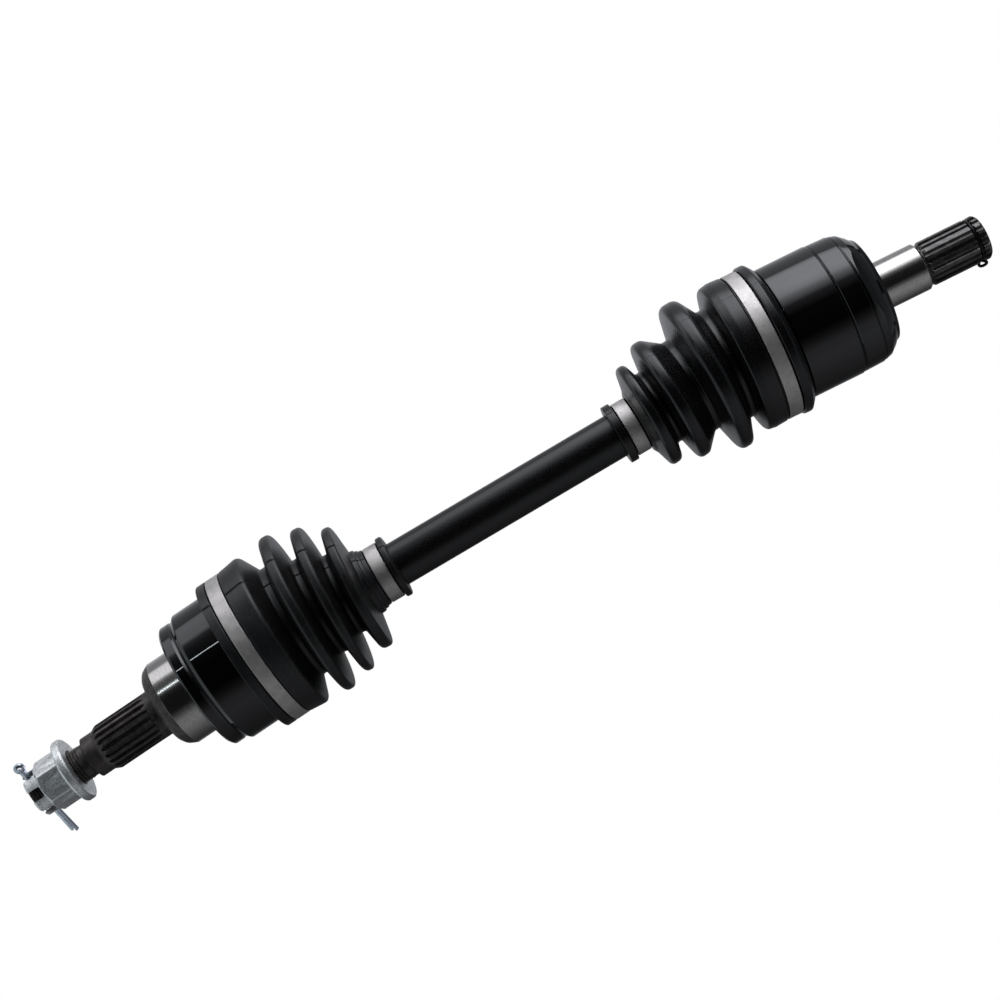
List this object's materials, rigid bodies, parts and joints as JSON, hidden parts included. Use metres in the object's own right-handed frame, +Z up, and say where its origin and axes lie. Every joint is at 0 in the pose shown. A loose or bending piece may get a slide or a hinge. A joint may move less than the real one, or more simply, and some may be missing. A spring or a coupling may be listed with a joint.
{
  "type": "cv axle",
  "caption": "Drive axle with a constant-velocity ball joint at each end under a bellows boot, a splined threaded hub stub and a splined gearbox stub.",
  "frame": {"origin": "on the shaft's axis, at the middle of the bare bar between the two boots", "axes": "+X along the shaft towards the gearbox end, +Z up; at rest both joints stand bent a few degrees about Z, so the ends lie towards -Y"},
  "size_m": [0.5431, 0.0862, 0.0872],
  "materials": {
    "gloss_black": "gloss black paint",
    "satin_black": "satin black paint",
    "rubber": "matte moulded rubber",
    "band_steel": "satin stainless strip",
    "zinc": "bright zinc plate",
    "bearing_steel": "polished bearing steel",
    "spring_steel": "dark spring steel",
    "ground_steel": "ground steel",
    "phosphate": "dark phosphate"
  },
  "bodies": {
    "shaft": {"shaft": "satin_black", "outboard_inner_race": "bearing_steel", "outboard_race_circlip": "spring_steel", "inboard_inner_race": "bearing_steel", "inboard_race_circlip": "spring_steel", "outboard_boot_clamp_small": "band_steel", "inboard_boot_clamp_small": "band_steel"},
    "outboard_ball_pair": {"outboard_ball_1": "bearing_steel", "outboard_ball_4": "bearing_steel"},
    "outboard_cage": {"outboard_cage": "bearing_steel", "outboard_ball_2": "bearing_steel", "outboard_ball_3": "bearing_steel", "outboard_ball_5": "bearing_steel", "outboard_ball_6": "bearing_steel"},
    "outboard_boot_middle": {"outboard_boot": "rubber"},
    "outboard_housing": {"outboard_housing": "gloss_black", "castle_flange_nut": "zinc", "cotter_pin": "zinc", "outboard_boot_clamp_large": "band_steel"},
    "inboard_ball_pair": {"inboard_ball_1": "bearing_steel", "inboard_ball_4": "bearing_steel"},
    "inboard_cage": {"inboard_cage": "bearing_steel", "inboard_ball_2": "bearing_steel", "inboard_ball_3": "bearing_steel", "inboard_ball_5": "bearing_steel", "inboard_ball_6": "bearing_steel"},
    "inboard_boot_middle": {"inboard_boot": "rubber"},
    "inboard_spring_cup": {"plunge_spring_cup": "bearing_steel"},
    "inboard_housing": {"inboard_housing": "gloss_black", "inboard_stopper_ring": "spring_steel", "stub_circlip": "spring_steel", "inboard_boot_clamp_large": "band_steel", "plunge_spring": "spring_steel"}
  },
  "joints": [
    {"name": "outboard_bend_y", "type": "hinge", "parent": "shaft", "child": "outboard_ball_pair", "pos_m": [-0.1455, 0, 0], "axis": [0, 1, 0], "range_deg": [-11, 11], "deforming": ["outboard_boot"]},
    {"name": "outboard_bend_z", "type": "hinge", "parent": "outboard_ball_pair", "child": "outboard_cage", "pos_m": [-0.1455, 0, 0], "axis": [0, 0, 1], "range_deg": [-12.7, 9.3], "deforming": ["outboard_boot"]},
    {"name": "outboard_bell_z", "type": "hinge", "parent": "outboard_cage", "child": "outboard_boot_middle", "pos_m": [-0.1455, 0, 0], "axis": [0, 0, 1], "range_deg": [-12.7, 9.3], "deforming": ["outboard_boot"]},
    {"name": "outboard_bell_y", "type": "hinge", "parent": "outboard_boot_middle", "child": "outboard_housing", "pos_m": [-0.1455, 0, 0], "axis": [-0.0593, 0.9982, 0], "range_deg": [-11, 11], "deforming": ["outboard_boot"]},
    {"name": "inboard_bend_y", "type": "hinge", "parent": "shaft", "child": "inboard_ball_pair", "pos_m": [0.1735, 0, 0], "axis": [0, 1, 0], "range_deg": [-6, 6], "deforming": ["inboard_boot"]},
    {"name": "inboard_bend_z", "type": "hinge", "parent": "inboard_ball_pair", "child": "inboard_cage", "pos_m": [0.1735, 0, 0], "axis": [0, 0, 1], "range_deg": [-4.15, 8.35], "deforming": ["inboard_boot"]},
    {"name": "inboard_can_z", "type": "hinge", "parent": "inboard_cage", "child": "inboard_boot_middle", "pos_m": [0.1735, 0, 0], "axis": [0, 0, 1], "range_deg": [-4.15, 8.35], "deforming": ["inboard_boot"]},
    {"name": "inboard_can_y", "type": "hinge", "parent": "inboard_boot_middle", "child": "inboard_spring_cup", "pos_m": [0.1735, 0, 0], "axis": [0.0732, 0.9973, 0], "range_deg": [-6, 6], "deforming": ["inboard_boot"]},
    {"name": "inboard_plunge", "type": "slide", "parent": "inboard_spring_cup", "child": "inboard_housing", "axis": [0.9973, -0.0732, 0], "range_m": [-0.01, 0.01], "deforming": ["inboard_boot", "plunge_spring"]}
  ],
  "couplings": [
    {"joint": "outboard_bell_z", "follows": "outboard_bend_z", "ratio": 1},
    {"joint": "outboard_bell_y", "follows": "outboard_bend_y", "ratio": 1},
    {"joint": "inboard_can_z", "follows": "inboard_bend_z", "ratio": 1},
    {"joint": "inboard_can_y", "follows": "inboard_bend_y", "ratio": 1}
  ]
}
